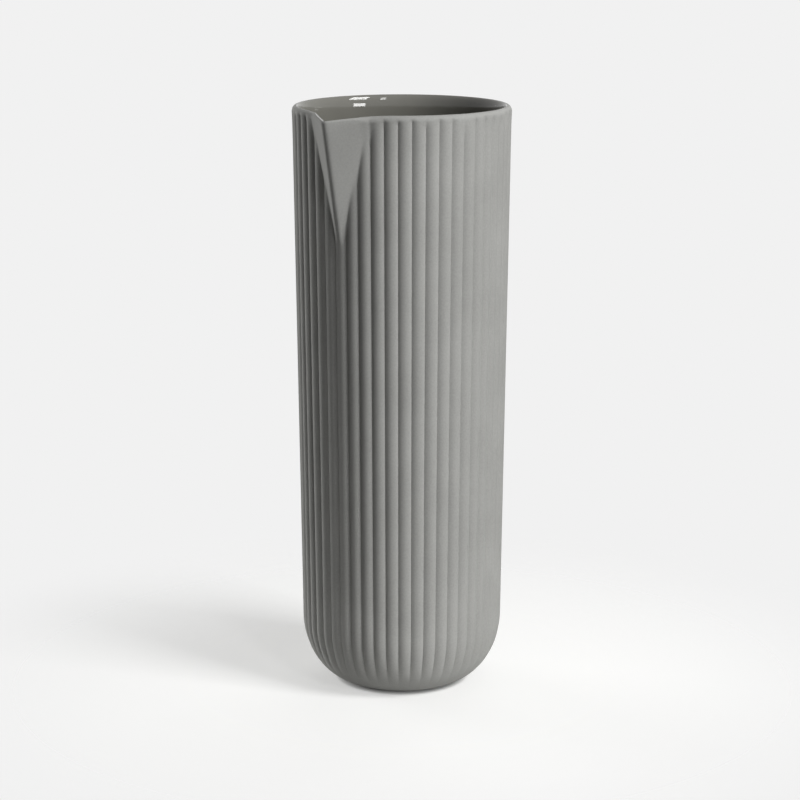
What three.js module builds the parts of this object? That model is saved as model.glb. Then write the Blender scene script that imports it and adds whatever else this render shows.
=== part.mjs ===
// Reeded stoneware carafe with a pinched spout, in millimetres, +Z up.
// The origin is the centre of the foot, and the spout points along -Y.
import * as THREE from 'three';

// Outer form, measured over the crests of the reeds
const HEIGHT = 240;
const BASE_RADIUS = 40.9;
const FLARE = 3.3;
const CORNER_REACH = 21.7;
const CORNER_RISE = 28.3;

// Clay wall, and the glaze that lines it up to the lip's crest
const WALL = 3;
const FLOOR = 4.5;
const GLAZE = 0.4;
const GLAZE_CLEARANCE = 0.05;

// Reeds: round ribs that meet in sharp creases and die out above the foot and on the lip's rounding
const REEDS = 50;
const REED_DEPTH = 0.8;
const REED_START = 4;
const REED_FULL = 20;
const REED_RUN_OUT = 3;
const REED_END = 1;

// Rim: it flares a little, and its lip is rounded outside and curves down a long way inside. The rounding is
// sharper at the spout's tip, where only a share of it is left. The reach is the nearness to the tip from
// which that share is all there is.
const RIM_FLARE = 0.12;
const LIP_EDGE = 1.8;
const LIP_RISE = 2.4;
const SPOUT_LIP = 0.4;
const SPOUT_LIP_REACH = 0.5;
const MOUTH_DEPTH = 6;

// Spout: two flat facets that meet in a ridge from the tip down to a point on the wall. The drop and the
// reach are those of the sharp ridge, before it is rounded over its width.
const SPOUT_DROP = 55.5;
const SPOUT_REACH = 10.9;
const SPOUT_DIP = 2;
const SPOUT_HALF_ANGLE = THREE.MathUtils.degToRad(20);
const RIDGE_WIDTH = 5.6;

// Fineness of the facets
const STEPS_PER_REED = 4;
const CORNER_STEPS = 7;
const INNER_CORNER_STEPS = 3;
const LIP_STEPS = 2;
const MOUTH_STEPS = 2;
const SEAM_STEP = 1;

const COLUMNS = REEDS * STEPS_PER_REED;
const RIM_RADIUS = BASE_RADIUS + FLARE;
const TIP_RADIUS = RIM_RADIUS + SPOUT_REACH;
const TAPER = FLARE / HEIGHT;
const COVER = GLAZE_CLEARANCE + GLAZE;
const REED_STOP = HEIGHT - REED_END;
const REED_TOP = REED_STOP - REED_RUN_OUT;
const QUARTER = Math.PI / 2;

const crestRadius = (height) => BASE_RADIUS + TAPER * height;
const cornerCentre = crestRadius(CORNER_RISE) - CORNER_REACH;

// Angles run from the spout, and fold onto one half, because the carafe is symmetric about the spout's plane
const fromSpout = (angle) => Math.min(angle, 2 * Math.PI - angle);

// How far the surface lies below the crests: a parabola from each crest to the creases on its two sides
function reedHollow(angle) {
  const turn = (angle / (2 * Math.PI)) * REEDS;
  const offCrest = turn - Math.round(turn);
  return REED_DEPTH * (2 * offCrest) ** 2;
}

// One facet of the spout: the plane through the ridge's low end, the tip and the corner on the rim
function makeFacet() {
  const ridgeFoot = HEIGHT - SPOUT_DROP;
  const low = new THREE.Vector3(0, -crestRadius(ridgeFoot), ridgeFoot);
  const tip = new THREE.Vector3(0, -TIP_RADIUS, HEIGHT - SPOUT_DIP);
  const corner = new THREE.Vector3(Math.sin(SPOUT_HALF_ANGLE), -Math.cos(SPOUT_HALF_ANGLE), 0);
  corner.multiplyScalar(RIM_RADIUS).setZ(HEIGHT);
  return new THREE.Plane().setFromCoplanarPoints(low, corner, tip);
}

const facet = makeFacet();
const facetFacing = Math.atan2(facet.normal.x, -facet.normal.y);
const facetPull = (angle) => facet.normal.x * Math.sin(angle) - facet.normal.y * Math.cos(angle);
const ridgeHalfAngle = Math.asin(RIDGE_WIDTH / 2 / TIP_RADIUS);
const ridgeLoss = (Math.tan(facetFacing) * RIDGE_WIDTH) / 4;

// What the rounding takes off the sharp ridge: a parabola that runs into both facets
const ridgeRounding = (around) => ridgeLoss * Math.max(0, 1 - around / ridgeHalfAngle) ** 2;

// Radius of the facet, or of the same facet set inwards by a wall's thickness. It counts up to the facet's
// own facing direction, past which the wall is round again.
function facetRadius(angle, height, inset) {
  const around = fromSpout(angle);
  if (around > facetFacing) return 0;
  const sharp = (-inset - facet.constant - facet.normal.z * height) / facetPull(around);
  return sharp - ridgeRounding(around);
}

// Height at which the facet meets the wall that lies a given depth below the crests
function spoutLine(angle, inset, depth, top) {
  const around = fromSpout(angle);
  if (around > facetFacing) return top;
  const pull = facetPull(around);
  const reach = -inset - facet.constant - pull * (BASE_RADIUS - depth + ridgeRounding(around));
  return Math.min(top, reach / (facet.normal.z + pull * TAPER));
}

// 1 at the spout's tip, falling to 0 at its corners on the rim
const nearness = (angle) => Math.max(0, 1 - fromSpout(angle) / SPOUT_HALF_ANGLE);

// The rim curves down towards the tip
const rimTop = (angle) => HEIGHT - SPOUT_DIP * nearness(angle) ** 2;

// Share of the lip's rounding that is left at an angle
function lipShare(angle) {
  const sharpening = THREE.MathUtils.smoothstep(nearness(angle), 0, SPOUT_LIP_REACH);
  return 1 - (1 - SPOUT_LIP) * sharpening;
}

// A station is one ring of the surface: for each angle it gives the radius and the height there
const onAxis = (height) => () => [0, height];

function outerCorner(swing) {
  const height = CORNER_RISE * (1 - Math.cos(swing));
  const radius = cornerCentre + CORNER_REACH * Math.sin(swing);
  const growth = THREE.MathUtils.smoothstep(height, REED_START, REED_FULL);
  return (angle) => [radius - growth * reedHollow(angle), height];
}

function outerSpoutLine(angle) {
  const hollow = reedHollow(angle);
  const height = spoutLine(angle, 0, hollow, HEIGHT - LIP_RISE - REED_RUN_OUT);
  return [crestRadius(height) - hollow, height];
}

// The lip rounds over from the wall to its crest in a quarter of an ellipse, and the reeds end on it
const lip = (swing) => (angle) => {
  const share = lipShare(angle);
  const foot = rimTop(angle) - LIP_RISE * share;
  const height = foot + LIP_RISE * share * Math.sin(swing);
  const hollow = reedHollow(angle) * (1 - THREE.MathUtils.smoothstep(height, REED_TOP, REED_STOP));
  const radius = Math.max(crestRadius(foot) + RIM_FLARE - hollow, facetRadius(angle, foot, 0));
  return [radius - LIP_EDGE * share * (1 - Math.cos(swing)), height];
};

const innerRadius = (angle, height, depth) => Math.max(
  crestRadius(height) - depth,
  facetRadius(angle, height, depth),
);

// The mouth curves out from the inner wall to the lip's crest, or to a surface that is sunk below the crest
const mouth = (cover, inset) => (swing) => (angle) => {
  const depth = WALL + cover;
  const top = rimTop(angle) - (COVER - cover);
  const foot = rimTop(angle) - MOUTH_DEPTH;
  const height = foot + (top - foot) * Math.sin(swing);
  const opening = lip(QUARTER)(angle)[0] - inset - innerRadius(angle, top, depth);
  return [innerRadius(angle, height, depth) + opening * (1 - Math.cos(swing)), height];
};

const innerSpoutLine = (depth) => (angle) => {
  const height = spoutLine(angle, depth, depth, HEIGHT - SPOUT_DIP - MOUTH_DEPTH - SEAM_STEP);
  return [crestRadius(height) - depth, height];
};

const innerCorner = (depth, floor) => (swing) => () => [
  cornerCentre + (CORNER_REACH - depth) * Math.sin(swing),
  CORNER_RISE - (CORNER_RISE - floor) * Math.cos(swing),
];

// Stations spread evenly over an arc, both ends included
function arc(station, from, to, steps) {
  return Array.from({ length: steps + 1 }, (_, step) => station(from + ((to - from) * step) / steps));
}

// The hollow's surface from the axis up to the lip's crest, with a given cover on the clay
function innerWall(cover, inset) {
  const depth = WALL + cover;
  const floor = FLOOR + cover;
  return [
    onAxis(floor),
    ...arc(innerCorner(depth, floor), 0, QUARTER, INNER_CORNER_STEPS),
    innerSpoutLine(depth),
    ...arc(mouth(cover, inset), 0, QUARTER, MOUTH_STEPS),
  ];
}

// Turns the outline about Z, and moves each ring's points to where its station puts them
function revolve(stations) {
  const outline = stations.map((station) => new THREE.Vector2(...station(Math.PI)));
  const geometry = new THREE.LatheGeometry(outline, COLUMNS);
  const points = geometry.attributes.position;
  for (let column = 0; column <= COLUMNS; column += 1) {
    const angle = (2 * Math.PI * (column % COLUMNS)) / COLUMNS;
    stations.forEach((station, ring) => {
      const [radius, height] = station(angle);
      const index = column * stations.length + ring;
      points.setXYZ(index, radius * Math.sin(angle), -radius * Math.cos(angle), height);
    });
  }
  geometry.computeVertexNormals();
  return geometry;
}

// Splits each cell of a revolved surface along its other diagonal
function swapDiagonals(geometry) {
  const corners = geometry.index.array;
  for (let first = 0; first < corners.length; first += 6) {
    const [a, b, d, c] = corners.slice(first, first + 4);
    corners.set([a, b, c, a, c, d], first);
  }
  return geometry;
}

function makeBody() {
  const geometry = revolve([
    onAxis(0),
    ...arc(outerCorner, 0, QUARTER, CORNER_STEPS),
    outerSpoutLine,
    ...arc(lip, 0, QUARTER, LIP_STEPS),
    ...innerWall(0, 0).reverse(),
  ]);
  const stoneware = new THREE.MeshStandardMaterial({ color: 0x8f8e8a, roughness: 0.85, metalness: 0 });
  const body = new THREE.Mesh(geometry, stoneware);
  body.name = 'fluted_body';
  return body;
}

function makeGlaze() {
  // The clay's rings run down here and the glaze's run up, so the swap lays facet against facet
  const geometry = swapDiagonals(revolve([
    ...innerWall(GLAZE_CLEARANCE, GLAZE_CLEARANCE),
    ...innerWall(COVER, GLAZE_CLEARANCE).reverse(),
  ]));
  const clearGlaze = new THREE.MeshStandardMaterial({ color: 0x6c6b62, roughness: 0.12, metalness: 0 });
  const glaze = new THREE.Mesh(geometry, clearGlaze);
  glaze.name = 'inner_glaze';
  return glaze;
}

const carafe = new THREE.Group();
carafe.add(makeBody(), makeGlaze());

export default carafe;
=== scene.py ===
"""Reeded stoneware carafe: fine meshes, finishes and a studio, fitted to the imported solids."""

import math
from collections import namedtuple

import bpy
import numpy as np
from bpy.props import FloatProperty, FloatVectorProperty, IntProperty, PointerProperty
from mathutils import Matrix, Vector


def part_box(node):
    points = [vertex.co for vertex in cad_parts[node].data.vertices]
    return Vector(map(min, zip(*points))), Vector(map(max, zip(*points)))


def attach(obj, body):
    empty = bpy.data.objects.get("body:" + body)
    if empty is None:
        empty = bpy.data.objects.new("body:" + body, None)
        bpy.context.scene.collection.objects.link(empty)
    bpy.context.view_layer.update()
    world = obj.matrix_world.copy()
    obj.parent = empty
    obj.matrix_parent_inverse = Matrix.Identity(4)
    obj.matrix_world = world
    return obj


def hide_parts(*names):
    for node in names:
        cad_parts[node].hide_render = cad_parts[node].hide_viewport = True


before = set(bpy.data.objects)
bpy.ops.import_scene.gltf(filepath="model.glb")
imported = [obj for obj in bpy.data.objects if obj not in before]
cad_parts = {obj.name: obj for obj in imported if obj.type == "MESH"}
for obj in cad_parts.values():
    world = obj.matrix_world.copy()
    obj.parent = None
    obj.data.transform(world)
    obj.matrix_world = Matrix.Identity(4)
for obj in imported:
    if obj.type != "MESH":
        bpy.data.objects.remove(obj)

bl_info = {
    "name": "Reeded Carafe",
    "version": (1, 0, 0),
    "blender": (4, 5, 0),
    "location": "View3D > Sidebar > Carafe",
    "description": "Models a reeded stoneware carafe with a pinched spout, its glaze and a studio",
    "category": "Object",
}

MM = 0.001
QUARTER = math.pi / 2
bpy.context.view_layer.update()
BODY_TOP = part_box("fluted_body")[1].z

# Fineness of the meshes: columns round the carafe, and rows along its outline
STEPS_PER_REED = 12
GLAZE_STEPS_PER_REED = 6
FOOT_ROWS = 3
CORNER_ROWS = 22
WALL_ROWS = 6
SEAM_ROWS = 16
FACET_ROWS = 18
LIP_ROWS = 8
MOUTH_ROWS = 9
INNER_FACET_ROWS = 10
INNER_SEAM_ROWS = 8
INNER_CORNER_ROWS = 10

# How closely the rows crowd towards the spout's seam, where 1 spaces them evenly
BELOW_SEAM_CROWDING = 2
ABOVE_SEAM_CROWDING = 1.5
INNER_SEAM_CROWDING = 2

# Multiples of the spout's half angle at which the seam's line starts to sink and has come to rest
SEAM_LEAVES = 1.3
SEAM_RESTS = 3

# Nearness to the tip from which only the tip's share of the lip's rounding is left
SPOUT_LIP_REACH = 0.5

# Few creases end early, and the higher this power, the fewer
WEAR_POWER = 3

# Points closer than this are merged, and edges bent by more than this stay sharp
MERGE_DISTANCE = 0.002 * MM
CREASE_ANGLE = math.radians(40)

# Finishes: how far apart the features of a pattern are, in millimetres, and how high its relief stands. The
# clay's real grain is about 0.2 mm, drawn coarser here so that it shows.
CLOUD_SIZE = 22
GRAIN_SIZE = 0.7
POOL_SIZE = 14
WAVE_SIZE = 5
GRAIN_RELIEF = 0.03 * MM
WAVE_RELIEF = 0.15 * MM

# Sockets of a Mix node that are known by number when it mixes colours
MIX_FACTOR = 0
MIX_A = 6
MIX_B = 7
MIX_RESULT = 2

# Lamps: angles in degrees, to the camera's right and above the floor, and sizes and distance in metres. The
# window is a row of panes, a pitch apart.
Lamp = namedtuple("Lamp", "side lift width height")
WINDOW_PANE = Lamp(side=56, lift=38, width=0.17, height=0.72)
LOW_WINDOW = Lamp(side=51, lift=9, width=0.55, height=0.4)
SIDE_WINDOW = Lamp(side=23, lift=33, width=0.22, height=0.55)
FRONT_WALL = Lamp(side=20, lift=12, width=1.8, height=1.2)
LEFT_WALL = Lamp(side=-129, lift=3, width=1.2, height=0.6)
BACK_WALL = Lamp(side=165, lift=30, width=1.8, height=1.2)
CEILING = Lamp(side=0, lift=88, width=1.5, height=1.5)
LAMP_DISTANCE = 2.2
WINDOW_PANES = 4
PANE_PITCH = 6.2

SENSOR_WIDTH = 36
FLOOR_SIDES = 96


def linear(hex_colour):
    """Turns an sRGB hex colour into linear red, green and blue."""
    channels = [int(hex_colour[i:i + 2], 16) / 255 for i in (1, 3, 5)]
    return tuple(c / 12.92 if c <= 0.04045 else ((c + 0.055) / 1.055) ** 2.4 for c in channels)


def length(name, millimetres, description):
    """A length that a user can change, stored in metres."""
    return FloatProperty(
        name=name, description=description, default=millimetres * MM, unit="LENGTH", precision=5
    )


def angle(name, degrees, description):
    """An angle that a user can change, stored in radians."""
    return FloatProperty(name=name, description=description, default=math.radians(degrees), subtype="ANGLE")


def colour(name, hex_colour, description):
    """A colour that a user can change, stored as linear light."""
    return FloatVectorProperty(
        name=name, description=description, default=linear(hex_colour), subtype="COLOR", min=0, max=1
    )


def watts(name, power, description):
    """A lamp's power that a user can change."""
    return FloatProperty(name=name, description=description, default=power, unit="POWER", min=0)


class CarafeShape(bpy.types.PropertyGroup):
    """Sizes of the carafe, over the crests of its reeds."""

    height: length("Height", BODY_TOP / MM, "From the foot to the rim")
    base_radius: length("Base radius", 40.9, "Radius of the wall carried down to the foot")
    flare: length("Flare", 3.3, "How much wider the rim's radius is than the base's")
    corner_reach: length("Corner reach", 21.7, "Width of the round lower corner")
    corner_rise: length("Corner rise", 28.3, "Height of the round lower corner")
    wall: length("Wall", 3, "Thickness of the clay wall")
    floor: length("Floor", 4.5, "Thickness of the clay floor")
    mouth_depth: length("Mouth depth", 6, "Depth over which the inner wall curves out to the lip")
    glaze: length("Glaze", 0.4, "Thickness of the glaze")
    glaze_clearance: length("Glaze clearance", 0.05, "Gap between the clay and the glaze")
    reeds: IntProperty(name="Reeds", description="Number of reeds round the wall", default=50, min=3)
    reed_depth: length("Reed depth", 0.8, "Depth of the creases below the crests")
    reed_start: length("Reed start", 4, "Height at which the reeds grow out of the corner")
    reed_full: length("Reed full", 20, "Height at which the reeds have their full depth")
    run_out_short: length("Shortest run-out", 2.2, "Height over which most creases end below the lip")
    run_out_long: length("Longest run-out", 11, "Height over which a crease ends where the rim is worn")
    run_out_seed: IntProperty(
        name="Run-out seed", default=23180,
        description="Picks the creases that end early, chosen to suit those beside the spout",
    )
    rim_flare: length("Rim flare", 0.12, "How far the rim stands outside the wall's straight line")
    rim_flare_depth: length("Rim flare depth", 10, "Height over which the rim flares")
    lip_edge: length("Lip edge", 1.8, "Width of the rounding between the wall and the lip's crest")
    lip_rise: length("Lip rise", 2.4, "Height of that rounding")
    spout_lip: FloatProperty(
        name="Spout lip", description="Share of the lip's rounding that is left at the tip", default=0.4,
        subtype="FACTOR", min=0, max=1,
    )
    reed_end: length("Reed end", 0.6, "From the lip's crest to the end of the creases")
    spout_drop: length("Spout drop", 55.5, "From the rim to the low end of the sharp ridge")
    spout_reach: length("Spout reach", 10.35, "How far the sharp tip stands outside the rim")
    spout_dip: length("Spout dip", 2, "How far the rim dips at the tip")
    dip_half_angle: angle("Dip half angle", 32, "Half of the rim that dips towards the tip")
    spout_half_angle: angle("Spout half angle", 20, "Half of the rim that the spout takes up")
    ridge_width: length("Ridge width", 3.4, "Width over which the ridge is rounded")
    seam_fillet: length("Seam fillet", 0.45, "Softness of the seam between the facets and the reeds")
    rim_fillet: length("Rim fillet", 2.4, "Softness of that seam at the rim")


class CarafeFinish(bpy.types.PropertyGroup):
    """Colours of the carafe and its stage."""

    clay_light: colour("Clay, light", "#a9a9a6", "Bare stoneware where the grain is light")
    clay_dark: colour("Clay, dark", "#9d9d9a", "Bare stoneware where the grain is dark")
    glaze_thin: colour("Glaze, thin", "#7d7c75", "Glazed clay where the glaze is thin")
    glaze_thick: colour("Glaze, thick", "#6f6e68", "Glazed clay where the glaze has pooled")
    floor_paper: colour("Floor, paper", "#d0d0cf", "What the seen floor returns of the lamps' light")
    # The glow is painted darker close to the carafe's foot, as a painted contact shadow
    floor_glow: colour("Floor, glow", "#b4b4b3", "What the seen floor adds to it")
    floor_bounce: colour("Floor, bounce", "#bcbcba", "The floor as it lights the carafe")
    backdrop: colour("Backdrop", "#f1f1f1", "The pale background")
    ambient: colour("Ambient", "#1c1c1c", "The room's light from all round")


class CarafeStudio(bpy.types.PropertyGroup):
    """The camera and the lamps, placed from the photograph's viewing angle."""

    azimuth: angle("Azimuth", 34.4, "Camera's angle from the spout")
    pitch: angle("Pitch", 12.531, "How far the camera looks down")
    distance: length("Distance", 1031.1, "From the camera to the point it looks at")
    aim_height: length("Aim height", 118.37, "Height of the point it looks at")
    aim_shift: length("Aim shift", -0.722, "Sideways place of the point it looks at")
    focal_length: FloatProperty(name="Focal length", description="Lens, in mm", default=112.5, min=1)
    floor_radius: length("Floor radius", 230, "Radius of the floor")
    floor_fade: length("Floor fade", 60, "Radius at which the floor starts to melt into the backdrop")
    # The dark line of contact is painted shade: the floor's glow darkened near the carafe, not a lamp's
    # shadow
    painted_shade_reach: length("Contact reach", 2, "How far the dark line of contact reaches out on the floor")
    window_power: watts("Window", 32.5, "Power of the window")
    low_window_power: watts("Low window", 12, "Power of the low window below it")
    side_window_power: watts("Side window", 4, "Power of the narrow window beside it")
    front_wall_power: watts("Front wall", 5.5, "Power of the pale wall in front")
    left_wall_power: watts("Left wall", 40, "Power of the pale wall at the left")
    back_wall_power: watts("Back wall", 9, "Power of the pale wall behind")
    ceiling_power: watts("Ceiling", 4, "Power of the pale ceiling")


# Geometry of the wall. Angles run from the spout, from minus to plus half a turn.


def smooth_step(value, low, high):
    """0 below the low end and 1 above the high end, with a smooth rise between them."""
    share = np.clip((value - low) / (high - low), 0, 1)
    return share * share * (3 - 2 * share)


def soft_max(a, b, softness):
    """The larger of two radii, with the crease between them filled over a given softness."""
    near = np.maximum(0, softness - np.abs(a - b))
    return np.maximum(a, b) + near * near / (4 * softness)


class CarafeForm:
    """Works out the carafe's surfaces, as a radius and a height for each angle."""

    def __init__(self, shape):
        self.shape = shape
        self.taper = shape.flare / shape.height
        self.lip_foot = shape.height - shape.lip_rise
        self.mouth_foot = shape.height - shape.mouth_depth
        self.reed_top = shape.height - shape.reed_end
        self.seam_top = self.lip_foot - shape.reed_end
        self.seam_rest = self.lip_foot - shape.run_out_long
        self.corner_centre = self.crest(shape.corner_rise) - shape.corner_reach
        self.ridge_foot = shape.height - shape.spout_drop
        self.spout_low = self.ridge_foot - shape.run_out_long
        wear = np.random.default_rng(shape.run_out_seed).random(shape.reeds) ** WEAR_POWER
        self.run_outs = shape.run_out_short + (shape.run_out_long - shape.run_out_short) * wear
        self.find_facet()

    def find_facet(self):
        """The plane through the ridge's low end, the rim's corner and the sharp tip."""
        shape = self.shape
        rim_radius = self.crest(shape.height)
        tip_radius = rim_radius + shape.spout_reach
        low = Vector((0, -self.crest(self.ridge_foot), self.ridge_foot))
        tip = Vector((0, -tip_radius, shape.height - shape.spout_dip))
        half = shape.spout_half_angle
        corner = Vector((rim_radius * math.sin(half), -rim_radius * math.cos(half), shape.height))
        self.normal = (corner - low).cross(tip - low).normalized()
        self.offset = self.normal.dot(low)
        self.facing = math.atan2(self.normal.x, -self.normal.y)
        self.ridge_half_angle = math.asin(shape.ridge_width / 2 / tip_radius)
        self.ridge_loss = math.tan(self.facing) * shape.ridge_width / 4

    def crest(self, height):
        """Radius of the wall over the reeds' crests."""
        return self.shape.base_radius + self.taper * height

    def reed_hollow(self, angles):
        """Depth below the crests: a parabola from each crest to the creases on its two sides."""
        turns = angles / (2 * math.pi) * self.shape.reeds
        off_crest = turns - np.round(turns)
        return self.shape.reed_depth * (2 * off_crest) ** 2

    def reed_growth(self, angles, height):
        """The reeds grow out of the round corner, and end below the lip, some of them early."""
        shape = self.shape
        creases = np.floor(angles / (2 * math.pi) * shape.reeds).astype(int) % shape.reeds
        ending = smooth_step(height, self.reed_top - self.run_outs[creases], self.reed_top)
        return smooth_step(height, shape.reed_start, shape.reed_full) * (1 - ending)

    def ridge_rounding(self, angles):
        """What the rounding takes off the sharp ridge."""
        return self.ridge_loss * np.maximum(0, 1 - np.abs(angles) / self.ridge_half_angle) ** 2

    def pull(self, angles):
        """How much of the facet's normal points outwards at an angle."""
        around = np.minimum(np.abs(angles), self.facing)
        return self.normal.x * np.sin(around) - self.normal.y * np.cos(around)

    def facet(self, angles, height, inset):
        """Radius of the spout's facet, set inwards by a wall's thickness."""
        sharp = (self.offset - inset - self.normal.z * height) / self.pull(angles)
        return np.where(np.abs(angles) < self.facing, sharp - self.ridge_rounding(angles), 0)

    def spout_line(self, angles, inset, depth, top, rest):
        """Height at which the facet meets the wall that lies a given depth below the crests. Away from the
        spout the line sinks to a height of rest, where it only keeps the rows of the mesh even."""
        pull = self.pull(angles)
        wall = self.shape.base_radius - depth + self.ridge_rounding(angles)
        line = (self.offset - inset - pull * wall) / (self.normal.z + pull * self.taper)
        around = np.abs(angles)
        half = self.shape.spout_half_angle
        away = smooth_step(around, SEAM_LEAVES * half, SEAM_RESTS * half)
        spout = np.where(around < self.facing, np.minimum(line, top), top)
        return spout + (rest - spout) * away

    def nearness(self, angles):
        """1 at the spout's tip, falling to 0 at its corners on the rim."""
        return np.maximum(0, 1 - np.abs(angles) / self.shape.spout_half_angle)

    def rim_dip(self, angles):
        """The rim curves down towards the tip."""
        fall = np.maximum(0, 1 - np.abs(angles) / self.shape.dip_half_angle)
        return self.shape.spout_dip * fall ** 2

    def lip_share(self, angles):
        """The lip's rounding gets sharper towards the tip."""
        sharpening = smooth_step(self.nearness(angles), 0, SPOUT_LIP_REACH)
        return 1 - (1 - self.shape.spout_lip) * sharpening

    def outer(self, angles, height, reed_height):
        """The reeded wall, flaring at the rim, and the spout's facets pulled out of it."""
        shape = self.shape
        flare = np.clip((height - self.lip_foot) / shape.rim_flare_depth + 1, 0, 1) ** 2
        hollow = self.reed_hollow(angles) * self.reed_growth(angles, reed_height)
        wall = self.crest(height) + shape.rim_flare * flare - hollow
        fillet = shape.seam_fillet + (shape.rim_fillet - shape.seam_fillet) * flare
        return soft_max(wall, self.facet(angles, height, 0), fillet)

    def inner(self, angles, height, depth):
        """The smooth inner wall, a given depth below the crests."""
        wall = self.crest(height) - depth
        return soft_max(wall, self.facet(angles, height, depth), self.shape.rim_fillet)

    # Rows of the mesh, from the foot up the outside and over the lip. Each is a function from the columns'
    # angles to their radii and heights.

    def flat_row(self, radius, height):
        """A level circle."""
        return lambda angles: (np.full_like(angles, radius), np.full_like(angles, height))

    def corner_row(self, swing):
        """The round lower corner, with the reeds growing out of it."""
        shape = self.shape
        radius = self.corner_centre + shape.corner_reach * math.sin(swing)
        height = shape.corner_rise * (1 - math.cos(swing))

        def row(angles):
            heights = np.full_like(angles, height)
            return radius - self.reed_hollow(angles) * self.reed_growth(angles, heights), heights
        return row

    def wall_row(self, height):
        """The wall below the spout."""
        def row(angles):
            heights = np.full_like(angles, height)
            return self.outer(angles, heights, heights), heights
        return row

    def outer_seam(self, angles):
        """Height of the seam between the reeds and the facets."""
        return self.spout_line(angles, 0, self.reed_hollow(angles), self.seam_top, self.seam_rest)

    def below_seam_row(self, share):
        """A share of the way from below the spout up to the seam."""
        def row(angles):
            heights = self.spout_low + (self.outer_seam(angles) - self.spout_low) * share
            return self.outer(angles, heights, heights), heights
        return row

    def rim_foot(self, angles):
        """Height at which the wall ends and the lip's rounding begins."""
        return self.shape.height - self.rim_dip(angles) - self.shape.lip_rise * self.lip_share(angles)

    def above_seam_row(self, share):
        """A share of the way from the seam up to the lip's rounding."""
        def row(angles):
            seam = self.outer_seam(angles)
            heights = seam + (self.rim_foot(angles) - seam) * share
            return self.outer(angles, heights, heights), heights
        return row

    def lip_row(self, swing):
        """The rounding from the wall to the lip's crest."""
        shape = self.shape

        def row(angles):
            foot = self.rim_foot(angles)
            lip_share = self.lip_share(angles)
            heights = foot + shape.lip_rise * lip_share * math.sin(swing)
            radii = self.outer(angles, foot, heights) - shape.lip_edge * lip_share * (1 - math.cos(swing))
            return radii, heights
        return row

    def mouth_row(self, depth, sink, inset, swing):
        """The long curve from the inner wall out to the lip's crest, or to a surface sunk below it."""
        def row(angles):
            dip = self.rim_dip(angles)
            top = self.shape.height - dip - sink
            foot = self.mouth_foot - dip
            heights = foot + (top - foot) * math.sin(swing)
            crest = self.lip_row(QUARTER)(angles)[0] - inset
            opening = crest - self.inner(angles, top, depth)
            return self.inner(angles, heights, depth) + opening * (1 - math.cos(swing)), heights
        return row

    def inner_seam(self, angles, depth):
        """Height of the seam between the inner wall and the backs of the facets."""
        top = self.mouth_foot - self.shape.spout_dip - self.shape.wall
        return self.spout_line(angles, depth, depth, top, (top + self.spout_low) / 2)

    def inner_above_row(self, depth, share):
        """A share of the way from the inner seam up to the mouth."""
        def row(angles):
            seam = self.inner_seam(angles, depth)
            heights = seam + (self.mouth_foot - self.rim_dip(angles) - seam) * share
            return self.inner(angles, heights, depth), heights
        return row

    def inner_below_row(self, depth, share):
        """A share of the way from below the spout up to the inner seam."""
        def row(angles):
            heights = self.spout_low + (self.inner_seam(angles, depth) - self.spout_low) * share
            return self.inner(angles, heights, depth), heights
        return row

    def inner_corner_row(self, depth, floor, swing):
        """The round corner between the inner wall and the floor."""
        shape = self.shape
        radius = self.corner_centre + (shape.corner_reach - depth) * math.sin(swing)
        return self.flat_row(radius, shape.corner_rise - (shape.corner_rise - floor) * math.cos(swing))

    def outside_rows(self):
        """From the middle of the foot up the outside to the lip's crest."""
        shape = self.shape
        rows = [self.flat_row(self.corner_centre * step / FOOT_ROWS, 0) for step in range(FOOT_ROWS)]
        rows += [self.corner_row(QUARTER * step / CORNER_ROWS) for step in range(CORNER_ROWS + 1)]
        rise = self.spout_low - shape.corner_rise
        for step in range(1, WALL_ROWS + 1):
            rows.append(self.wall_row(shape.corner_rise + rise * step / WALL_ROWS))
        for step in range(1, SEAM_ROWS + 1):
            rows.append(self.below_seam_row(1 - (1 - step / SEAM_ROWS) ** BELOW_SEAM_CROWDING))
        for step in range(1, FACET_ROWS):
            rows.append(self.above_seam_row((step / FACET_ROWS) ** ABOVE_SEAM_CROWDING))
        return rows + [self.lip_row(QUARTER * step / LIP_ROWS) for step in range(LIP_ROWS + 1)]

    def inside_rows(self, cover, inset):
        """From the lip's crest down the inside to the middle of the floor. The cover is what lies on the
        clay, and the inset sets the crest inwards."""
        shape = self.shape
        depth = shape.wall + cover
        floor = shape.floor + cover
        sink = shape.glaze + shape.glaze_clearance - cover
        down = [1 - step / MOUTH_ROWS for step in range(MOUTH_ROWS)]
        rows = [self.mouth_row(depth, sink, inset, QUARTER * share) for share in down]
        down = [1 - step / INNER_FACET_ROWS for step in range(INNER_FACET_ROWS + 1)]
        rows += [self.inner_above_row(depth, share ** INNER_SEAM_CROWDING) for share in down]
        down = [1 - step / INNER_SEAM_ROWS for step in range(1, INNER_SEAM_ROWS + 1)]
        rows += [self.inner_below_row(depth, share) for share in down]
        down = [1 - step / INNER_CORNER_ROWS for step in range(INNER_CORNER_ROWS + 1)]
        rows += [self.inner_corner_row(depth, floor, QUARTER * share) for share in down]
        return rows + [self.flat_row(self.corner_centre / 2, floor), self.flat_row(0, floor)]


# Modelling


def draw_outline(name, points):
    """Draws an open outline in the spout's plane, one extruded vertex after another, and marks its rows."""
    bpy.ops.object.select_all(action="DESELECT")
    bpy.ops.mesh.primitive_plane_add(size=MM)
    piece = bpy.context.object
    piece.name = name
    piece.data.name = name
    bpy.ops.object.mode_set(mode="EDIT")
    bpy.ops.mesh.select_mode(type="VERT")
    bpy.ops.mesh.merge(type="CENTER")
    bpy.ops.transform.translate(value=points[0])
    for here, there in zip(points, points[1:]):
        bpy.ops.mesh.extrude_region_move(TRANSFORM_OT_translate={"value": there - here})
    bpy.ops.object.mode_set(mode="OBJECT")
    marks = piece.data.attributes.new("row", "INT", "POINT")
    marks.data.foreach_set("value", list(range(len(points))))
    return piece


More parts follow.
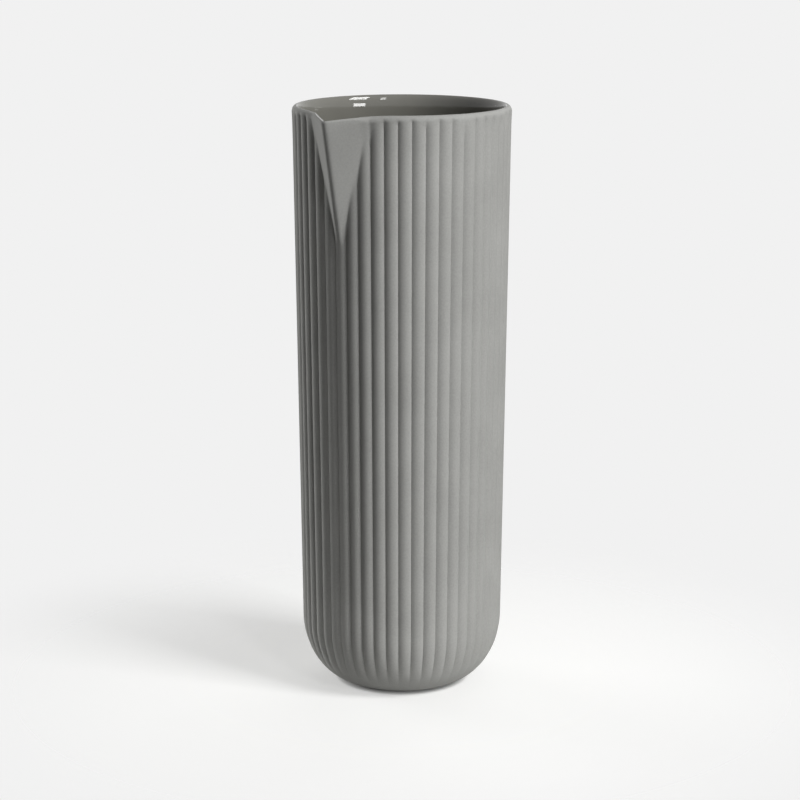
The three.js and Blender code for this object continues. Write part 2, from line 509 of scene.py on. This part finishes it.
def spin_rows(name, rows, columns):
    """Spins the back's outline into a body, then moves each row's points to where the row puts them."""
    back = np.array([math.pi])
    outline = []
    for row in rows:
        radii, heights = row(back)
        outline.append(Vector((0, -float(radii[0]), float(heights[0]))))
    piece = draw_outline(name, outline)
    bpy.ops.object.mode_set(mode="EDIT")
    bpy.ops.mesh.select_all(action="SELECT")
    bpy.ops.mesh.spin(steps=columns, angle=2 * math.pi, center=(0, 0, 0), axis=(0, 0, 1))
    bpy.ops.mesh.select_all(action="SELECT")
    bpy.ops.mesh.remove_doubles(threshold=MERGE_DISTANCE)
    bpy.ops.mesh.normals_make_consistent(inside=False)
    bpy.ops.object.mode_set(mode="OBJECT")
    press_rows(piece.data, rows, columns)
    return piece


def press_rows(mesh, rows, columns):
    """Presses the reeds and pulls the spout: each point goes to its row's radius and height there."""
    count = len(mesh.vertices)
    places = np.empty(count * 3)
    marks = np.empty(count, dtype=int)
    mesh.vertices.foreach_get("co", places)
    mesh.attributes["row"].data.foreach_get("value", marks)
    places = places.reshape(-1, 3)
    step = 2 * math.pi / columns
    angles = np.round(np.arctan2(places[:, 0], -places[:, 1]) / step) * step
    for index, row in enumerate(rows):
        chosen = marks == index
        radii, heights = row(angles[chosen])
        places[chosen, 0] = radii * np.sin(angles[chosen])
        places[chosen, 1] = -radii * np.cos(angles[chosen])
        places[chosen, 2] = heights
    mesh.vertices.foreach_set("co", places.ravel())
    mesh.attributes.remove(mesh.attributes["row"])
    mesh.update()


def finish_piece(piece, material, node):
    """Smooths a piece up to its creases, gives it its finish and sets it in the place of its solid."""
    bpy.ops.object.select_all(action="DESELECT")
    piece.select_set(True)
    bpy.context.view_layer.objects.active = piece
    bpy.ops.object.shade_smooth_by_angle(angle=CREASE_ANGLE)
    piece.data.materials.clear()
    piece.data.materials.append(material)
    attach(piece, "root")
    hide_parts(node)


# Finishes


def add_node(tree, kind, sockets=None, **settings):
    """Adds a node with its settings. A socket is given a value, or the output that it is linked to."""
    node = tree.nodes.new(kind)
    for name, value in settings.items():
        setattr(node, name, value)
    for name, value in (sockets or {}).items():
        if isinstance(value, bpy.types.NodeSocket):
            tree.links.new(value, node.inputs[name])
        else:
            node.inputs[name].default_value = value
    return node


def new_material(name):
    """A new material and its empty node tree."""
    material = bpy.data.materials.new(name)
    material.use_nodes = True
    material.node_tree.nodes.clear()
    return material, material.node_tree


def per_metre(millimetres):
    """Scale of a pattern whose features are that far apart."""
    return 1 / (millimetres * MM)


def bare_stoneware(finish):
    """Unglazed stoneware, slip cast and sanded: matt, with a fine grain and a faint cloudiness."""
    material, tree = new_material("bare_stoneware")
    place = add_node(tree, "ShaderNodeTexCoord").outputs["Object"]
    clouds = add_node(
        tree, "ShaderNodeTexNoise", {"Vector": place, "Scale": per_metre(CLOUD_SIZE), "Detail": 3.0}
    )
    grain = add_node(
        tree, "ShaderNodeTexNoise", {"Vector": place, "Scale": per_metre(GRAIN_SIZE), "Detail": 2.0}
    )
    tone = add_node(
        tree, "ShaderNodeMath", {0: clouds.outputs["Fac"], 1: grain.outputs["Fac"]}, operation="ADD"
    )
    share = add_node(
        tree, "ShaderNodeMapRange", {"Value": tone.outputs[0], "From Min": 0.7, "From Max": 1.3}
    )
    clay = add_node(tree, "ShaderNodeMix", {
        MIX_FACTOR: share.outputs[0], MIX_A: (*finish.clay_dark, 1), MIX_B: (*finish.clay_light, 1),
    }, data_type="RGBA")
    rough = add_node(
        tree, "ShaderNodeMapRange", {"Value": grain.outputs["Fac"], "To Min": 0.68, "To Max": 0.82}
    )
    relief = add_node(
        tree, "ShaderNodeBump", {"Height": grain.outputs["Fac"], "Strength": 0.35, "Distance": GRAIN_RELIEF}
    )
    shader = add_node(tree, "ShaderNodeBsdfPrincipled", {
        "Base Color": clay.outputs[MIX_RESULT],
        "Roughness": rough.outputs[0],
        "Normal": relief.outputs[0],
        "IOR": 1.5,
        "Specular IOR Level": 0.3,
    })
    add_node(tree, "ShaderNodeOutputMaterial", {"Surface": shader.outputs[0]})
    return material


def clear_glaze(finish):
    """Clear gloss glaze, poured in and out before firing: it darkens the clay and pools in soft waves."""
    material, tree = new_material("clear_glaze")
    place = add_node(tree, "ShaderNodeTexCoord").outputs["Object"]
    pools = add_node(
        tree, "ShaderNodeTexNoise", {"Vector": place, "Scale": per_metre(POOL_SIZE), "Detail": 2.0}
    )
    waves = add_node(
        tree, "ShaderNodeTexNoise", {"Vector": place, "Scale": per_metre(WAVE_SIZE), "Detail": 1.0}
    )
    glazed = add_node(tree, "ShaderNodeMix", {
        MIX_FACTOR: pools.outputs["Fac"], MIX_A: (*finish.glaze_thin, 1), MIX_B: (*finish.glaze_thick, 1),
    }, data_type="RGBA")
    relief = add_node(
        tree, "ShaderNodeBump", {"Height": waves.outputs["Fac"], "Strength": 0.2, "Distance": WAVE_RELIEF}
    )
    shader = add_node(tree, "ShaderNodeBsdfPrincipled", {
        "Base Color": glazed.outputs[MIX_RESULT],
        "Roughness": 0.04,
        "Normal": relief.outputs[0],
        "IOR": 1.46,
    })
    add_node(tree, "ShaderNodeOutputMaterial", {"Surface": shader.outputs[0]})
    return material


def seen_directly(tree):
    """1 where the camera, a reflection or a refraction sees the surface, and 0 where it only lights."""
    path = add_node(tree, "ShaderNodeLightPath").outputs
    seen = add_node(
        tree, "ShaderNodeMath", {0: path["Is Camera Ray"], 1: path["Is Glossy Ray"]}, operation="MAXIMUM"
    )
    return add_node(
        tree, "ShaderNodeMath", {0: seen.outputs[0], 1: path["Is Transmission Ray"]}, operation="MAXIMUM"
    ).outputs[0]


def pale_floor(finish, studio):
    """Matt white paper, which melts into the backdrop away from the carafe. It glows where it is seen, and
    keeps the carafe's shadow. Near the carafe's foot its glow is darkened into a painted contact shadow."""
    material, tree = new_material("pale_paper_floor")
    place = add_node(tree, "ShaderNodeTexCoord").outputs["Object"]
    away = add_node(tree, "ShaderNodeVectorMath", {0: place}, operation="LENGTH")
    melt = add_node(tree, "ShaderNodeMapRange", {
        "Value": away.outputs["Value"],
        "From Min": studio.floor_fade,
        "From Max": studio.floor_radius,
    }, interpolation_type="SMOOTHSTEP")
    # Painted contact shadow: ambient occlusion darkens the glow where the carafe stands close above the
    # floor. The paper keeps the lamps' real shadow.
    painted_contact_shade = add_node(tree, "ShaderNodeAmbientOcclusion", {
        "Color": (*finish.floor_glow, 1), "Distance": studio.painted_shade_reach,
    })
    glow = add_node(tree, "ShaderNodeEmission", {"Color": painted_contact_shade.outputs["Color"]})
    paper = add_node(tree, "ShaderNodeBsdfDiffuse", {"Color": (*finish.floor_paper, 1)})
    seen = add_node(tree, "ShaderNodeAddShader", {0: paper.outputs[0], 1: glow.outputs[0]})
    bounce = add_node(tree, "ShaderNodeBsdfDiffuse", {"Color": (*finish.floor_bounce, 1)})
    lit = add_node(tree, "ShaderNodeMixShader", {
        0: seen_directly(tree), 1: bounce.outputs[0], 2: seen.outputs[0],
    })
    clear = add_node(tree, "ShaderNodeBsdfTransparent")
    shader = add_node(tree, "ShaderNodeMixShader", {
        0: melt.outputs[0], 1: lit.outputs[0], 2: clear.outputs[0],
    })
    add_node(tree, "ShaderNodeOutputMaterial", {"Surface": shader.outputs[0]})
    return material


def light_room(finish):
    """The world shows the pale backdrop, and lights the carafe with a dim room."""
    world = bpy.data.worlds.new("studio_room")
    world.use_nodes = True
    tree = world.node_tree
    tree.nodes.clear()
    room = add_node(tree, "ShaderNodeMix", {
        MIX_FACTOR: seen_directly(tree), MIX_A: (*finish.ambient, 1), MIX_B: (*finish.backdrop, 1),
    }, data_type="RGBA")
    sky = add_node(tree, "ShaderNodeBackground", {"Color": room.outputs[MIX_RESULT], "Strength": 1.0})
    add_node(tree, "ShaderNodeOutputWorld", {"Surface": sky.outputs[0]})
    bpy.context.scene.world = world


# Stage


def camera_axes(studio):
    """The camera's right and back directions, level with the floor."""
    right = Vector((math.cos(studio.azimuth), math.sin(studio.azimuth), 0))
    back = Vector((math.sin(studio.azimuth), -math.cos(studio.azimuth), 0))
    return right, back


def aim(target, position):
    """Matrix of a camera or lamp that stands at a position and looks at a target, with its top up."""
    turn = (target - position).to_track_quat("-Z", "Y")
    return Matrix.Translation(position) @ turn.to_matrix().to_4x4()


def place_camera(studio):
    """A camera at the photograph's viewing angle."""
    right, back = camera_axes(studio)
    target = right * studio.aim_shift + Vector((0, 0, studio.aim_height))
    away = back * math.cos(studio.pitch) + Vector((0, 0, math.sin(studio.pitch)))
    camera = bpy.data.cameras.new("photo_camera")
    camera.sensor_width = SENSOR_WIDTH
    camera.lens = studio.focal_length
    holder = bpy.data.objects.new("photo_camera", camera)
    bpy.context.scene.collection.objects.link(holder)
    holder.matrix_world = aim(target, target + away * studio.distance)
    bpy.context.scene.camera = holder


def place_lamp(studio, name, place, power):
    """An area lamp that shines on the carafe, and that the camera does not see."""
    right, back = camera_axes(studio)
    turn = math.radians(place.side)
    rise = math.radians(place.lift)
    level = right * math.sin(turn) + back * math.cos(turn)
    target = Vector((0, 0, studio.aim_height))
    position = target + (level * math.cos(rise) + Vector((0, 0, math.sin(rise)))) * LAMP_DISTANCE
    lamp = bpy.data.lights.new(name, "AREA")
    lamp.shape = "RECTANGLE"
    lamp.size = place.width
    lamp.size_y = place.height
    lamp.energy = power
    holder = bpy.data.objects.new(name, lamp)
    bpy.context.scene.collection.objects.link(holder)
    holder.matrix_world = aim(target, position)
    holder.visible_camera = False
    return holder


def lay_floor(finish, studio):
    """A round floor under the carafe."""
    bpy.ops.object.select_all(action="DESELECT")
    bpy.ops.mesh.primitive_circle_add(vertices=FLOOR_SIDES, radius=studio.floor_radius, fill_type="NGON")
    floor = bpy.context.object
    floor.name = "pale_floor"
    floor.data.materials.append(pale_floor(finish, studio))


class CARAFE_OT_stage(bpy.types.Operator):
    """Sets up the camera, the lamps, the room and the floor"""

    bl_idname = "carafe.stage"
    bl_label = "Stage"

    def execute(self, context):
        scene = context.scene
        studio = scene.carafe_studio
        scene.view_settings.view_transform = "Standard"
        light_room(scene.carafe_finish)
        place_camera(studio)
        for pane in range(WINDOW_PANES):
            side = WINDOW_PANE.side + PANE_PITCH * (pane - (WINDOW_PANES - 1) / 2)
            place = WINDOW_PANE._replace(side=side)
            place_lamp(studio, "window_pane", place, studio.window_power / WINDOW_PANES)
        place_lamp(studio, "low_window", LOW_WINDOW, studio.low_window_power)
        place_lamp(studio, "side_window", SIDE_WINDOW, studio.side_window_power)
        walls = (
            place_lamp(studio, "front_wall", FRONT_WALL, studio.front_wall_power),
            place_lamp(studio, "left_wall", LEFT_WALL, studio.left_wall_power),
            place_lamp(studio, "back_wall", BACK_WALL, studio.back_wall_power),
            place_lamp(studio, "ceiling", CEILING, studio.ceiling_power),
        )
        # The glaze mirrors the windows, and not the lamps that stand for the walls
        for wall in walls:
            wall.visible_glossy = False
        lay_floor(scene.carafe_finish, studio)
        return {"FINISHED"}


class CARAFE_OT_fluted_body(bpy.types.Operator):
    """Models the reeded clay body with its spout"""

    bl_idname = "carafe.fluted_body"
    bl_label = "Fluted body"

    def execute(self, context):
        shape = context.scene.carafe_shape
        form = CarafeForm(shape)
        rows = form.outside_rows() + form.inside_rows(0, 0)
        piece = spin_rows("stoneware_body", rows, shape.reeds * STEPS_PER_REED)
        finish = bare_stoneware(context.scene.carafe_finish)
        finish_piece(piece, finish, "fluted_body")
        return {"FINISHED"}


class CARAFE_OT_inner_glaze(bpy.types.Operator):
    """Models the glossy glaze that lines the hollow"""

    bl_idname = "carafe.inner_glaze"
    bl_label = "Inner glaze"

    def execute(self, context):
        shape = context.scene.carafe_shape
        form = CarafeForm(shape)
        clearance = shape.glaze_clearance
        rows = form.inside_rows(clearance, clearance)[::-1]
        rows += form.inside_rows(clearance + shape.glaze, clearance)
        piece = spin_rows("glaze_lining", rows, shape.reeds * GLAZE_STEPS_PER_REED)
        finish = clear_glaze(context.scene.carafe_finish)
        finish_piece(piece, finish, "inner_glaze")
        return {"FINISHED"}


class CARAFE_PT_sidebar(bpy.types.Panel):
    """Lists the carafe's pieces and its sizes"""

    bl_label = "Carafe"
    bl_idname = "CARAFE_PT_sidebar"
    bl_space_type = "VIEW_3D"
    bl_region_type = "UI"
    bl_category = "Carafe"

    def draw(self, context):
        for operator in OPERATORS:
            self.layout.operator(operator.bl_idname)
        for name in GROUPS:
            group = getattr(context.scene, name)
            box = self.layout.box()
            for key in group.__annotations__:
                box.prop(group, key)


GROUPS = {"carafe_shape": CarafeShape, "carafe_finish": CarafeFinish, "carafe_studio": CarafeStudio}
OPERATORS = (CARAFE_OT_stage, CARAFE_OT_fluted_body, CARAFE_OT_inner_glaze)


def register():
    """Adds the sizes, the operators and the sidebar to Blender."""
    for name, group in GROUPS.items():
        bpy.utils.register_class(group)
        setattr(bpy.types.Scene, name, PointerProperty(type=group))
    for operator in OPERATORS:
        bpy.utils.register_class(operator)
    bpy.utils.register_class(CARAFE_PT_sidebar)


def unregister():
    """Takes them out again."""
    bpy.utils.unregister_class(CARAFE_PT_sidebar)
    for operator in reversed(OPERATORS):
        bpy.utils.unregister_class(operator)
    for name, group in GROUPS.items():
        delattr(bpy.types.Scene, name)
        bpy.utils.unregister_class(group)


def main():
    """Builds the stage and both pieces."""
    register()
    bpy.ops.carafe.stage()
    bpy.ops.carafe.fluted_body()
    bpy.ops.carafe.inner_glaze()


if __name__ == "__main__":
    main()
